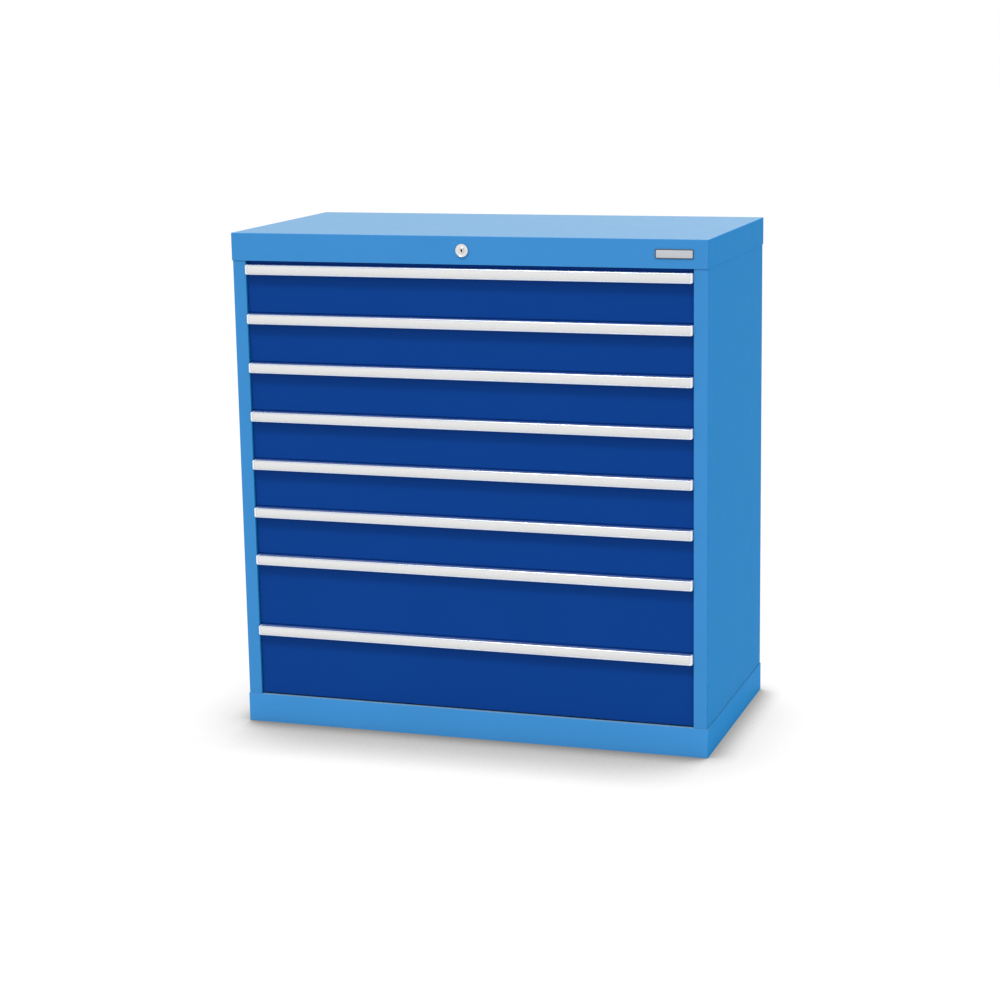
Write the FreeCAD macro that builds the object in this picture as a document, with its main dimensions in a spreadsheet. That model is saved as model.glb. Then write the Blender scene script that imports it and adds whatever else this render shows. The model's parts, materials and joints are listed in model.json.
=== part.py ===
import FreeCAD, Part
import os
import re
import Sketcher

# A free-standing steel drawer cabinet with eight full-width drawers, six of one
# height and two taller ones at the bottom, and one central lock for all of them.
# Origin: bottom centre of the whole cabinet.  +X is to the right of someone who
# faces the drawers, +Y is the back, +Z is up.  All sizes are in millimetres.

SMALL_DRAWERS = 6
TALL_DRAWERS = 2
DRAWERS = SMALL_DRAWERS + TALL_DRAWERS
SCREW_ROWS = 6
ROLLERS = 3                     # on each rail of a slide
GUIDED_DRAWERS = (2, 5, 7, 8)   # a lock bar guide stands behind each of these
CLOSE = 0.01                    # two places nearer than this are the same
SIDES = {"left": -1, "right": 1}

SIZES = {
    # case
    "case_width": 985,          # over the cover and the plinth
    "case_depth": 500,          # over the cover and the plinth, without handles
    "plinth_height": 59,
    "plinth_flange": 25,        # inward flange that rests on the floor
    "fascia_height": 56,        # height of the cover's skirt
    "fascia_return": 18,
    "bottom_gap": 2,
    "top_gap": 5,
    "sheet": 1.2,
    "skirt_clearance": 0.3,     # between a skirt and the panel behind it
    "post_width": 29,           # front post, from the cover's edge to the opening
    "post_return": 25,
    "back_flange": 20,
    "edge_round": 2,            # outside radius of folded edges
    "plate_flange": 20,
    # uprights and rails
    "upright_sheet": 1.5,
    "upright_depth": 40,
    "upright_inset": 8,         # front upright behind the post's return
    "rear_upright_inset": 40,
    "slide_room": 12,           # between a drawer's wall and the opening's edge
    "rail_sheet": 1.5,
    "rail_height": 26,
    "rail_flange": 3.5,
    "rail_rise": 34,            # rail centre above the drawer's module
    "rail_setback": 2,          # rails behind the drawer front
    "plate_clearance": 0.3,     # carriage plate to rail flanges
    "roller_clearance": 0.4,    # roller to the rail around it
    "carriage_setback": 40,     # carriage's rear end before the cabinet rail's
    "carriage_height": 18,
    "roller_pitch": 70,
    "roller_inset": 16,         # outermost roller from the carriage's end
    "stop_length": 4,
    "stop_height": 16,
    "stop_clearance": 1,
    "stop_side_clearance": 1,   # stop beside the tray's wall
    # drawers
    "small_pitch": 100,
    "tall_pitch": 150,
    "drawer_gap": 2,            # between one drawer and the next
    "front_side_gap": 1.5,      # drawer front to the post
    "front_recess": 5.5,        # drawer front behind the post's face
    "front_depth": 18,
    "front_sheet": 1.2,
    "tray_sheet": 1,
    "rear_room": 34.1,          # between the trays and the back panel
    "tray_lift": 6,             # tray's underside above its module's floor
    "tray_headroom": 22,        # module height that the tray leaves free
    # handles
    "handle_depth": 12,
    "handle_drop": 2,           # strip's top below the top of the drawer front
    "handle_height": 19.5,
    "handle_wall": 2.6,
    "handle_web": 2,
    "handle_round": 2,          # front top edge of the strip
    "label_recess": 0.8,
    "label_lip": 2.2,
    "cap_thickness": 4,
    "cap_round": 3,             # outer corners of a cap, seen from the front
    "cap_edge": 0.8,            # small radius round a cap's front face
    # lock
    "lock_drop": 28,            # lock axis below the cover's top
    "lock_flange_diameter": 26,
    "lock_flange_depth": 3.5,
    "barrel_diameter": 19.6,
    "barrel_clearance": 0.4,
    "barrel_length": 30,
    "plug_diameter": 10,
    "plug_clearance": 0.4,
    "plug_proud": 0.8,
    "key_slot_width": 2,
    "key_slot_height": 6,
    "key_slot_depth": 6,
    "nut_size": 15,             # centre to a corner of the hexagon
    "nut_depth": 5,
    "shaft_diameter": 8,
    "shaft_clearance": 0.4,
    "crank_diameter": 28,
    "crank_depth": 3,
    "crank_gap": 2,
    "crank_radius": 10,
    "crank_pin_diameter": 5,
    "crank_pin_proud": 1,       # pin's end behind the bar
    "pin_clearance": 0.6,
    "bar_width": 20,
    "bar_sheet": 3,
    "bar_gap": 4,               # between the drawers' hooks and the bar
    "bar_foot": 16,             # bar's lower end above the bottom plate
    "bar_head_margin": 6,
    "hanger_sheet": 2,
    "hanger_width": 30,
    "hanger_inset": 90,         # hanger in front of the crank
    "guide_width": 36,
    "guide_height": 12,
    "guide_wall": 2,
    "guide_clearance": 0.4,
    # hooks on the trays and tabs on the bar
    "hook_inset": 14,           # hook's plate below the tray's rim
    "hook_width": 24,
    "hook_reach": 14,
    "hook_sheet": 2,
    "hook_drop": 16,
    "tab_width": 16,
    "tab_gap": 4,               # tab's tip behind the tray's back
    "tab_tip": 4,
    "tab_sheet": 3,
    "tab_height": 16.5,
    "tab_clearance": 1.5,       # tip below the hook when the bar is down
    # trim
    "badge_width": 75.5,
    "badge_height": 18.5,
    "badge_depth": 1.4,
    "badge_drop": 19,           # badge's top below the cover's top
    "screw_head": 9,
    "screw_head_depth": 1.3,
    "screw_shank": 4,
    "screw_clearance": 0.4,
    "screw_length": 6,
    # every cutting solid reaches this far past what it cuts
    "overrun": 1,
}

doc = FreeCAD.newDocument("drawer_cabinet")
sheet = doc.addObject("Spreadsheet::Sheet", "sizes")
for row, (alias, value) in enumerate(SIZES.items(), start=1):
    sheet.set(f"A{row}", alias)
    sheet.set(f"B{row}", str(value))
    sheet.setAlias(f"B{row}", alias)
doc.recompute()

subparts = []


def cells(text):
    """Expression with every bare size name turned into a reference to its cell."""
    return re.sub(r"(?<![.\w])([a-z]\w*)", refer_to_cell, text)


def refer_to_cell(match):
    word = match.group(1)
    return f"sizes.{word}" if word in SIZES else word


# ---- places that several pieces share, as expressions ----

CASE_FRONT = cells("((handle_depth - front_recess - sheet - skirt_clearance - case_depth) / 2)")
CASE_BACK = f"({CASE_FRONT} + sizes.case_depth)"
CASE_TOP = cells(
    "(plinth_height + bottom_gap + top_gap + fascia_height"
    f" + {SMALL_DRAWERS} * small_pitch + {TALL_DRAWERS} * tall_pitch)"
)
PANEL_HALF = cells("(case_width / 2 - sheet - skirt_clearance)")
PANEL_FRONT = cells(f"({CASE_FRONT} + sheet + skirt_clearance)")
PANEL_BACK = cells(f"({CASE_BACK} - sheet - skirt_clearance)")
OPENING_HALF = cells("(case_width / 2 - post_width)")
FRONT_FACE = f"({PANEL_FRONT} + sizes.front_recess)"
FRONT_HALF = f"({OPENING_HALF} - sizes.front_side_gap)"
TRAY_FRONT = f"({FRONT_FACE} + sizes.front_depth)"
TRAY_BACK = f"({PANEL_BACK} - 2 * sizes.sheet - sizes.rear_room)"
TRAY_HALF = f"({OPENING_HALF} - sizes.slide_room)"
RAIL_FRONT = f"({TRAY_FRONT} + sizes.rail_setback)"
RAIL_BACK = f"({TRAY_BACK} + sizes.stop_clearance + sizes.stop_length)"
LOCK_HEIGHT = f"({CASE_TOP} - sizes.lock_drop)"
BAR_FRONT = f"({TRAY_BACK} + sizes.hook_reach + sizes.bar_gap)"
CRANK_FRONT = f"({BAR_FRONT} - sizes.crank_gap - sizes.crank_depth)"
HEAD_HEIGHT = f"({LOCK_HEIGHT} - sizes.crank_radius * sin(45))"


def drawer_floor(number):
    """Bottom of a drawer's module; drawer 1 is the top one."""
    tall_below = min(DRAWERS - number, TALL_DRAWERS)
    small_below = max(SMALL_DRAWERS - number, 0)
    return cells(
        f"(plinth_height + bottom_gap + {tall_below} * tall_pitch"
        f" + {small_below} * small_pitch)"
    )


def drawer_pitch(number):
    return "sizes.tall_pitch" if number > SMALL_DRAWERS else "sizes.small_pitch"


def tray_rim(number):
    height = f"{drawer_pitch(number)} - sizes.tray_headroom"
    return f"({drawer_floor(number)} + sizes.tray_lift + {height})"


def hook_plate(number):
    """Underside of the plate of the hook at a tray's back."""
    return f"({tray_rim(number)} - sizes.hook_inset)"


# ---- small helpers: every size and place is an expression ----

def place(thing, x="0", y="0", z="0"):
    for axis, expression in zip("xyz", (x, y, z)):
        thing.setExpression(f"Placement.Base.{axis}", expression)
    return thing


def box(name, x, y, z):
    """Box between pairs of expressions, each pair (low, high)."""
    block = doc.addObject("Part::Box", name)
    for side, (low, high) in zip(("Length", "Width", "Height"), (x, y, z)):
        block.setExpression(side, f"({high}) - ({low})")
    return place(block, x[0], y[0], z[0])


def rod(name, diameter, x, z, y):
    """Cylinder along Y between a pair of expressions."""
    bar = doc.addObject("Part::Cylinder", name)
    bar.Placement.Rotation = FreeCAD.Rotation(FreeCAD.Vector(1, 0, 0), -90)
    bar.setExpression("Radius", f"({diameter}) / 2")
    bar.setExpression("Height", f"({y[1]}) - ({y[0]})")
    return place(bar, x, y[0], z)


def roller(name, diameter, x, y, z):
    """Cylinder along X between a pair of expressions."""
    wheel = doc.addObject("Part::Cylinder", name)
    wheel.Placement.Rotation = FreeCAD.Rotation(FreeCAD.Vector(0, 1, 0), 90)
    wheel.setExpression("Radius", f"({diameter}) / 2")
    wheel.setExpression("Height", f"({x[1]}) - ({x[0]})")
    return place(wheel, x[0], y, z)


def mirrored(sign, low, high):
    """A pair of X expressions on one side of the cabinet, low before high."""
    return (low, high) if sign > 0 else (f"-({high})", f"-({low})")


def spread(half):
    return (f"-({half})", half)


def spread_about(centre, half):
    return (f"{centre} - {half}", f"{centre} + {half}")


def past(low, high):
    """A pair of expressions, each end moved out by a cutting solid's overrun."""
    return (f"{low} - sizes.overrun", f"{high} + sizes.overrun")


def cut(name, base, *tools):
    for step, tool in enumerate(tools):
        result = doc.addObject("Part::Cut", name if step == len(tools) - 1 else f"{name}_cut")
        result.Base = base
        result.Tool = tool
        base = result
    return base


def fuse(name, *pieces):
    joined = doc.addObject("Part::MultiFuse", name)
    joined.Shapes = list(pieces)
    joined.Refine = True
    return joined


def group(name, pieces):
    bundle = doc.addObject("Part::Compound", name)
    bundle.Links = list(pieces)
    return bundle


def subpart(thing, label):
    thing.Label = label
    subparts.append(thing)
    return thing


def plane(body, role):
    return next(item for item in body.Origin.OriginFeatures if item.Role == role)


def outline(body, name, role, points):
    """Closed polygon on an origin plane, each corner bound to expressions."""
    sketch = body.newObject("Sketcher::SketchObject", name)
    sketch.AttachmentSupport = [(plane(body, role), "")]
    sketch.MapMode = "FlatFace"
    doc.recompute()
    spots = [FreeCAD.Vector(*(evaluate(sketch, text) for text in point), 0) for point in points]
    for index, spot in enumerate(spots):
        sketch.addGeometry(Part.LineSegment(spot, spots[(index + 1) % len(spots)]), False)
    for index in range(len(spots)):
        following = (index + 1) % len(spots)
        sketch.addConstraint(Sketcher.Constraint("Coincident", index, 2, following, 1))
    for index, point in enumerate(points):
        for kind, text in zip(("DistanceX", "DistanceY"), point):
            number = sketch.addConstraint(Sketcher.Constraint(kind, -1, 1, index, 1, 0.0))
            sketch.renameConstraint(number, f"{kind}{index}")
            sketch.setExpression(f"Constraints.{kind}{index}", text)
    return sketch


def evaluate(thing, text):
    return float(thing.evalExpression(text))


def pad(body, name, sketch, length, symmetric=False):
    feature = body.newObject("PartDesign::Pad", name)
    feature.Profile = sketch
    feature.setExpression("Length", length)
    feature.Midplane = symmetric
    return feature


def round_edges(body, name, base, chosen, radius):
    """Fillet the edges of base that the test picks, in a body or, with none, on a solid."""
    doc.recompute()
    names = [f"Edge{number}" for number, edge in enumerate(base.Shape.Edges, 1) if chosen(edge)]
    if body is None:
        fillet = doc.addObject("Part::Fillet", name)
        fillet.Base = base
        fillet.Edges = [(int(edge.removeprefix("Edge")), radius, radius) for edge in names]
        return fillet
    feature = body.newObject("PartDesign::Fillet", name)
    feature.Base = (base, names)
    feature.setExpression("Radius", radius)
    return feature


# ---- the case ----

def case_shell(name, bottom, top, openings):
    """Folded sheet skirt round the whole case, with its outside corners rounded."""
    block = box(f"{name}_block", spread(cells("case_width / 2")), (CASE_FRONT, CASE_BACK), (bottom, top))
    rounded = round_edges(None, f"{name}_rounded", block, outside_edge(top), sheet.get("edge_round"))
    return cut(name, rounded, *openings)


def outside_edge(top):
    """Test for a box's upright edges, and for its top edges where top is the cabinet's."""
    height = evaluate(sheet, top)
    cover = abs(height - evaluate(sheet, CASE_TOP)) < CLOSE

    def chosen(edge):
        ends = [vertex.Point.z for vertex in edge.Vertexes]
        upright = abs(ends[0] - ends[1]) > CLOSE
        return upright or (cover and min(ends) > height - CLOSE)

    return chosen


def make_top_cover():
    bottom = f"{CASE_TOP} - sizes.fascia_height"
    inner_half = cells("case_width / 2 - sheet")
    inside_y = (f"{CASE_FRONT} + sizes.sheet", f"{CASE_BACK} - sizes.sheet")
    inside_z = (f"{bottom} - sizes.overrun", f"{CASE_TOP} - sizes.sheet")
    hollow = box("cover_hollow", spread(inner_half), inside_y, inside_z)
    barrel_hole = rod(
        "cover_lock_hole",
        cells("barrel_diameter + barrel_clearance"),
        "0",
        LOCK_HEIGHT,
        (f"{CASE_FRONT} - sizes.overrun", f"{CASE_FRONT} + sizes.sheet + sizes.overrun"),
    )
    shell = case_shell("cover_shell", bottom, CASE_TOP, [hollow, barrel_hole])
    lip = box(
        "cover_lip",
        spread(OPENING_HALF),
        (f"{CASE_FRONT} + sizes.sheet", f"{CASE_FRONT} + sizes.fascia_return"),
        (bottom, f"{bottom} + sizes.sheet"),
    )
    subpart(fuse("cover", shell, lip), "top_cover")


def make_plinth():
    inner_half = cells("case_width / 2 - sheet")
    inside_y = (f"{CASE_FRONT} + sizes.sheet", f"{CASE_BACK} - sizes.sheet")
    inside_z = ("sizes.sheet", cells("plinth_height + overrun"))
    hollow = box("plinth_hollow", spread(inner_half), inside_y, inside_z)
    underside = box(
        "plinth_underside",
        spread(cells("case_width / 2 - plinth_flange")),
        (f"{CASE_FRONT} + sizes.plinth_flange", f"{CASE_BACK} - sizes.plinth_flange"),
        ("-sizes.overrun", cells("sheet + overrun")),
    )
    shell = case_shell("plinth", "0", "sizes.plinth_height", [hollow, underside])
    subpart(shell, "base_plinth")


def make_side_panel(side):
    """Side wall, front post and rear flange folded from one sheet."""
    sign = SIDES[side]
    gauge = "sizes.sheet"
    corners = [
        (PANEL_HALF, PANEL_BACK),
        (PANEL_HALF, PANEL_FRONT),
        (OPENING_HALF, PANEL_FRONT),
        (OPENING_HALF, f"{PANEL_FRONT} + sizes.post_return"),
        (f"{OPENING_HALF} + {gauge}", f"{PANEL_FRONT} + sizes.post_return"),
        (f"{OPENING_HALF} + {gauge}", f"{PANEL_FRONT} + {gauge}"),
        (f"{PANEL_HALF} - {gauge}", f"{PANEL_FRONT} + {gauge}"),
        (f"{PANEL_HALF} - {gauge}", f"{PANEL_BACK} - {gauge}"),
        (f"{PANEL_HALF} - sizes.back_flange", f"{PANEL_BACK} - {gauge}"),
        (f"{PANEL_HALF} - sizes.back_flange", PANEL_BACK),
    ]
    body = doc.addObject("PartDesign::Body", f"{side}_panel_body")
    points = [(f"{sign} * ({x})", y) for x, y in corners]
    profile = outline(body, f"{side}_panel_profile", "XY_Plane", points)
    wall = pad(body, f"{side}_panel_wall", profile, f"{CASE_TOP} - 2 * sizes.sheet")

    def outside_corner(edge):
        ends = [vertex.Point for vertex in edge.Vertexes]
        upright = abs(ends[0].z - ends[1].z) > CLOSE
        return upright and abs(abs(ends[0].x) - panel_half) < CLOSE

    panel_half = evaluate(sheet, PANEL_HALF)
    round_edges(body, f"{side}_panel_round", wall, outside_corner, cells("edge_round - skirt_clearance"))
    place(body, z="sizes.sheet")
    panel = cut(f"{side}_panel", body, screw_holes(f"{side}_panel_holes", side))
    subpart(panel, f"{side}_side_panel")


def make_back_panel():
    back = f"{PANEL_BACK} - sizes.sheet"
    panel = box(
        "back_sheet",
        spread(f"{PANEL_HALF} - sizes.sheet"),
        (f"{back} - sizes.sheet", back),
        ("sizes.sheet", f"{CASE_TOP} - sizes.sheet"),
    )
    holes = [screw_holes(f"{side}_back_holes", side) for side in SIDES]
    subpart(cut("back", panel, *holes), "back_panel")


def make_bottom_plate():
    """Shelf under the lowest drawer, narrower between the posts, with a front flange."""
    wide = f"{PANEL_HALF} - sizes.sheet"
    behind_posts = f"{PANEL_FRONT} + sizes.post_return"
    back = f"{PANEL_BACK} - 2 * sizes.sheet"
    right = [
        (OPENING_HALF, PANEL_FRONT),
        (OPENING_HALF, behind_posts),
        (wide, behind_posts),
        (wide, back),
    ]
    points = right + [(f"-({x})", y) for x, y in reversed(right)]
    body = doc.addObject("PartDesign::Body", "bottom_plate_body")
    pad(body, "plate", outline(body, "plate_outline", "XY_Plane", points), "sizes.sheet")
    flange = [
        (f"-{OPENING_HALF}", PANEL_FRONT),
        (OPENING_HALF, PANEL_FRONT),
        (OPENING_HALF, f"{PANEL_FRONT} + sizes.sheet"),
        (f"-{OPENING_HALF}", f"{PANEL_FRONT} + sizes.sheet"),
    ]
    lip = pad(body, "plate_lip", outline(body, "lip_outline", "XY_Plane", flange), "sizes.plate_flange")
    lip.Reversed = True
    place(body, z=cells("plinth_height - sheet"))
    subpart(body, "bottom_plate")


def make_uprights(side):
    """Front and rear channels that carry one side's rails."""
    sign = SIDES[side]
    outer = f"{PANEL_HALF} - sizes.sheet"
    front = f"{PANEL_FRONT} + sizes.post_return + sizes.upright_inset"
    rear = f"{RAIL_BACK} - sizes.rear_upright_inset - sizes.upright_depth"
    gauge = "sizes.upright_sheet"
    channels = []
    for where, start in (("front", front), ("rear", rear)):
        end = f"{start} + sizes.upright_depth"
        corners = [
            (OPENING_HALF, start),
            (OPENING_HALF, end),
            (outer, end),
            (outer, f"{end} - {gauge}"),
            (f"{OPENING_HALF} + {gauge}", f"{end} - {gauge}"),
            (f"{OPENING_HALF} + {gauge}", f"{start} + {gauge}"),
            (outer, f"{start} + {gauge}"),
            (outer, start),
        ]
        name = f"{side}_{where}_upright"
        body = doc.addObject("PartDesign::Body", name)
        points = [(f"{sign} * ({x})", y) for x, y in corners]
        profile = outline(body, f"{name}_profile", "XY_Plane", points)
        pad(body, f"{name}_channel", profile, f"{CASE_TOP} - sizes.sheet - sizes.plinth_height")
        place(body, z="sizes.plinth_height")
        channels.append(body)
    subpart(group(f"{side}_upright_pair", channels), f"{side}_uprights")


def rail_centre(number):
    return f"({drawer_floor(number)} + sizes.rail_rise)"


def channel_rail(name, sign, web, lip, y, centre):
    """Rail of C section along Y, its web outside face at web, open towards lip."""
    half = cells("(rail_height / 2)")
    inner = cells("(rail_height / 2 - rail_sheet)")
    low, high = sorted((web, lip), key=lambda text: evaluate(sheet, text))
    gauge = "sizes.rail_sheet"
    if high == web:
        hollow = (f"{low} - sizes.overrun", f"{high} - {gauge}")
    else:
        hollow = (f"{low} + {gauge}", f"{high} + sizes.overrun")
    solid = box(f"{name}_bar", mirrored(sign, low, high), y, (f"{centre} - {half}", f"{centre} + {half}"))
    groove_y = past(*y)
    groove_z = (f"{centre} - {inner}", f"{centre} + {inner}")
    groove = box(f"{name}_groove", mirrored(sign, *hollow), groove_y, groove_z)
    return cut(name, solid, groove)


def make_cabinet_rails(side):
    sign = SIDES[side]
    lip = f"({OPENING_HALF} - sizes.rail_sheet - sizes.rail_flange)"
    rails = []
    for number in range(1, DRAWERS + 1):
        name = f"{side}_cabinet_rail_{number}"
        span = (RAIL_FRONT, RAIL_BACK)
        rails.append(channel_rail(name, sign, OPENING_HALF, lip, span, rail_centre(number)))
    subpart(group(f"{side}_rail_set", rails), f"{side}_cabinet_rails")


def make_drawer_stops():
    """Rubber blocks in the rear ends of the cabinet rails."""
    start = f"{TRAY_BACK} + sizes.stop_clearance"
    width = (f"{TRAY_HALF} + sizes.stop_side_clearance", f"{OPENING_HALF} - sizes.rail_sheet")
    stops = []
    for number in range(1, DRAWERS + 1):
        for side, sign in SIDES.items():
            stops.append(box(
                f"{side}_stop_{number}",
                mirrored(sign, *width),
                (start, f"{start} + sizes.stop_length"),
                spread_about(rail_centre(number), "sizes.stop_height / 2"),
            ))
    subpart(group("stop_set", stops), "drawer_stops")


# ---- one drawer ----

def make_front(number):
    floor = f"({drawer_floor(number)} + sizes.drawer_gap / 2)"
    top = front_top(number)
    gauge = "sizes.front_sheet"
    pan = box(f"front_{number}_pan", spread(FRONT_HALF), (FRONT_FACE, TRAY_FRONT), (floor, top))
    hollow = box(
        f"front_{number}_hollow",
        spread(f"{FRONT_HALF} - {gauge}"),
        (f"{FRONT_FACE} + {gauge}", f"{TRAY_FRONT} + sizes.overrun"),
        (f"{floor} + {gauge}", f"{top} - {gauge}"),
    )
    subpart(cut(f"front_{number}", pan, hollow), f"drawer_{number}_front")


def make_handle(number):
    """Aluminium strip: a web on top, a finger lip with a label groove, a rear flange."""
    depth = "sizes.handle_depth"
    height = "sizes.handle_height"
    wall = "sizes.handle_wall"
    web = "sizes.handle_web"
    groove = f"-{depth} + sizes.label_recess"
    corners = [
        ("0", "0"),
        (f"-{depth}", "0"),
        (f"-{depth}", "-sizes.label_lip"),
        (groove, "-sizes.label_lip"),
        (groove, f"-{height} + sizes.label_lip"),
        (f"-{depth}", f"-{height} + sizes.label_lip"),
        (f"-{depth}", f"-{height}"),
        (f"-{depth} + {wall}", f"-{height}"),
        (f"-{depth} + {wall}", f"-{web}"),
        (f"-{web}", f"-{web}"),
        (f"-{web}", f"-{height}"),
        ("0", f"-{height}"),
    ]
    body = doc.addObject("PartDesign::Body", f"handle_{number}")
    profile = outline(body, f"handle_{number}_profile", "YZ_Plane", corners)
    length = f"2 * ({FRONT_HALF} - sizes.cap_thickness)"
    strip = pad(body, f"handle_{number}_strip", profile, length, symmetric=True)
    reach = evaluate(sheet, "sizes.handle_depth")

    def top_front(edge):
        ends = [vertex.Point for vertex in edge.Vertexes]
        along = abs(ends[0].x - ends[1].x) > CLOSE
        return along and abs(ends[0].z) < CLOSE and abs(ends[0].y + reach) < CLOSE

    round_edges(body, f"handle_{number}_round", strip, top_front, "sizes.handle_round")
    place(body, y=FRONT_FACE, z=handle_top(number))
    subpart(body, f"drawer_{number}_handle")


def front_top(number):
    return f"({drawer_floor(number)} + {drawer_pitch(number)} - sizes.drawer_gap / 2)"


def handle_top(number):
    return f"({front_top(number)} - sizes.handle_drop)"


def make_end_caps(number):
    """Plastic caps that close both ends of a handle strip, round at their outer corners."""
    reach = evaluate(sheet, f"{FRONT_FACE} - sizes.handle_depth")
    end = evaluate(sheet, FRONT_HALF)

    def front_edge(edge):
        ends = [vertex.Point for vertex in edge.Vertexes]
        return abs(ends[0].x - ends[1].x) > CLOSE and abs(ends[0].y - reach) < CLOSE

    def outer_edge(edge):
        ends = [vertex.Point for vertex in edge.Vertexes]
        return abs(ends[0].y - ends[1].y) > CLOSE and abs(abs(ends[0].x) - end) < CLOSE

    caps = []
    for side, sign in SIDES.items():
        plate = box(
            f"{side}_cap_{number}_plate",
            mirrored(sign, f"{FRONT_HALF} - sizes.cap_thickness", FRONT_HALF),
            (f"{FRONT_FACE} - sizes.handle_depth", FRONT_FACE),
            (f"{handle_top(number)} - sizes.handle_height", handle_top(number)),
        )
        name = f"{side}_cap_{number}"
        shaped = round_edges(None, f"{name}_shaped", plate, outer_edge, sheet.get("cap_round"))
        caps.append(round_edges(None, name, shaped, front_edge, sheet.get("cap_edge")))
    subpart(group(f"caps_{number}", caps), f"drawer_{number}_end_caps")


def make_tray(number):
    """Welded steel box with its two rails and the hook that the lock bar holds."""
    floor = f"({drawer_floor(number)} + sizes.tray_lift)"
    rim = tray_rim(number)
    gauge = "sizes.tray_sheet"
    tub = box(f"tray_{number}_tub", spread(TRAY_HALF), (TRAY_FRONT, TRAY_BACK), (floor, rim))
    hollow = box(
        f"tray_{number}_hollow",
        spread(f"{TRAY_HALF} - {gauge}"),
        (f"{TRAY_FRONT} + {gauge}", f"{TRAY_BACK} - {gauge}"),
        (f"{floor} + {gauge}", f"{rim} + sizes.overrun"),
    )
    pieces = [cut(f"tray_{number}_box", tub, hollow)]
    lip = f"({TRAY_HALF} + sizes.rail_sheet + sizes.rail_flange)"
    span = (RAIL_FRONT, TRAY_BACK)
    for side, sign in SIDES.items():
        name = f"{side}_drawer_rail_{number}"
        pieces.append(channel_rail(name, sign, TRAY_HALF, lip, span, rail_centre(number)))
    hook = hook_plate(number)
    hook_back = f"({TRAY_BACK} + sizes.hook_reach)"
    half = spread(cells("hook_width / 2"))
    plate = (hook, f"{hook} + sizes.hook_sheet")
    pieces.append(box(f"hook_{number}_top", half, (TRAY_BACK, hook_back), plate))
    pieces.append(box(
        f"hook_{number}_lip",
        half,
        (f"{hook_back} - sizes.hook_sheet", hook_back),
        (f"{hook} - sizes.hook_drop", hook),
    ))
    subpart(fuse(f"tray_{number}", *pieces), f"drawer_{number}_tray")


def make_carriages(number):
    """Plate with six rollers on each side: three run in the cabinet rail, three in the drawer's."""
    centre = rail_centre(number)
    plate_low = f"({TRAY_HALF} + sizes.rail_sheet + sizes.rail_flange + sizes.plate_clearance)"
    plate_high = f"({OPENING_HALF} - sizes.rail_sheet - sizes.rail_flange - sizes.plate_clearance)"
    outer_end = f"({OPENING_HALF} - sizes.rail_sheet - sizes.roller_clearance)"
    inner_end = f"({TRAY_HALF} + sizes.rail_sheet + sizes.roller_clearance)"
    back = f"({RAIL_BACK} - sizes.carriage_setback)"
    diameter = cells("(rail_height - 2 * rail_sheet - 2 * roller_clearance)")
    pieces = []
    for side, sign in SIDES.items():
        pieces.append(box(
            f"{side}_carriage_{number}_plate",
            mirrored(sign, plate_low, plate_high),
            (RAIL_FRONT, back),
            spread_about(centre, "sizes.carriage_height / 2"),
        ))
        for step in range(ROLLERS):
            offset = cells(f"(roller_inset + {step} * roller_pitch)")
            rear = mirrored(sign, plate_high, outer_end)
            front = mirrored(sign, inner_end, plate_low)
            name = f"{side}_{number}_{step}"
            rear_y = f"{back} - {offset}"
            front_y = f"{RAIL_FRONT} + {offset}"
            pieces.append(roller(f"cabinet_roller_{name}", diameter, rear, rear_y, centre))
            pieces.append(roller(f"drawer_roller_{name}", diameter, front, front_y, centre))
    subpart(group(f"carriages_{number}", pieces), f"slide_{number}_carriages")


# ---- the lock ----

def make_lock_cylinder():
    face = f"({CASE_FRONT} - sizes.lock_flange_depth)"
    end = f"({CASE_FRONT} + sizes.barrel_length)"
    flange = rod("lock_flange", "sizes.lock_flange_diameter", "0", LOCK_HEIGHT, (face, CASE_FRONT))
    barrel = rod("lock_barrel", "sizes.barrel_diameter", "0", LOCK_HEIGHT, (CASE_FRONT, end))
    bore_size = cells("plug_diameter + 2 * plug_clearance")
    bore = rod("lock_bore", bore_size, "0", LOCK_HEIGHT, past(face, end))
    subpart(cut("lock_housing", fuse("lock_blank", flange, barrel), bore), "lock_cylinder")


def make_lock_nut():
    start = f"({CASE_FRONT} + sizes.sheet)"
    hexagon = doc.addObject("Part::Prism", "nut_hexagon")
    hexagon.Polygon = 6
    hexagon.Placement.Rotation = FreeCAD.Rotation(FreeCAD.Vector(1, 0, 0), -90)
    hexagon.setExpression("Circumradius", "sizes.nut_size")
    hexagon.setExpression("Height", "sizes.nut_depth")
    place(hexagon, "0", start, LOCK_HEIGHT)
    hole_size = cells("barrel_diameter + barrel_clearance")
    hole = rod("nut_hole", hole_size, "0", LOCK_HEIGHT, past(start, f"{start} + sizes.nut_depth"))
    subpart(cut("nut", hexagon, hole), "lock_nut")


def make_lock_plug():
    face = f"({CASE_FRONT} - sizes.lock_flange_depth - sizes.plug_proud)"
    end = f"({CASE_FRONT} + sizes.barrel_length)"
    core = rod("plug_core", "sizes.plug_diameter", "0", LOCK_HEIGHT, (face, end))
    slot = box(
        "key_slot",
        spread(cells("key_slot_width / 2")),
        (f"{face} - sizes.overrun", f"{face} + sizes.key_slot_depth"),
        spread_about(LOCK_HEIGHT, "sizes.key_slot_height / 2"),
    )
    subpart(cut("plug", core, slot), "lock_plug")


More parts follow.
